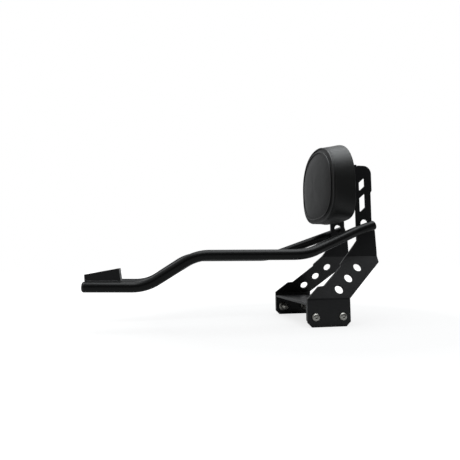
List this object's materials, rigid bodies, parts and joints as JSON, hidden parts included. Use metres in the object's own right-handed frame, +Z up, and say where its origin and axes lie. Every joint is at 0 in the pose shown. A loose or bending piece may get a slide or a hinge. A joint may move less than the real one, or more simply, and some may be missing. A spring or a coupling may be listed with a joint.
{
  "type": "motorcycle passenger backrest",
  "caption": "Padded motorcycle passenger backrest: folded steel side plates, cross bridge, bent side rails and an upholstered pad.",
  "frame": {"origin": "middle of the underside of the cross bridge, the face that sits over the rear mudguard", "axes": "+X rearward along the vehicle, +Y across it to the side away from the camera, +Z up"},
  "size_m": [0.6514, 0.3014, 0.422],
  "materials": {
    "plate_coat": "fine-textured black powder coat",
    "rail_coat": "satin black powder coat",
    "plug_plastic": "moulded black plastic",
    "pad_vinyl": "black grained vinyl",
    "piping_vinyl": "smooth black vinyl piping",
    "foam": "open-cell foam",
    "board_wood": "plywood",
    "stainless": "turned stainless steel",
    "zinc_steel": "bright zinc plate",
    "insert_steel": "yellow zinc plate",
    "black_steel": "black oxide"
  },
  "bodies": {
    "root": {"side_plate_left": "plate_coat", "side_plate_right": "plate_coat", "cross_bridge": "plate_coat", "rail_left": "rail_coat", "rail_right": "rail_coat", "front_plug_left": "plug_plastic", "front_plug_right": "plug_plastic", "rear_plug_left": "plug_plastic", "rear_plug_right": "plug_plastic", "seat_tab": "plate_coat", "pad_carrier": "plate_coat", "pad_board": "board_wood", "pad_foam": "foam", "pad_cover": "pad_vinyl", "pad_piping": "piping_vinyl", "pad_inserts": "insert_steel", "pad_screws": "black_steel", "pad_washers": "black_steel", "bolt_front_left": "stainless", "bolt_rear_left": "stainless", "bolt_front_right": "stainless", "bolt_rear_right": "stainless", "nut_front_left": "zinc_steel", "nut_rear_left": "zinc_steel", "nut_front_right": "zinc_steel", "nut_rear_right": "zinc_steel"}
  },
  "joints": []
}
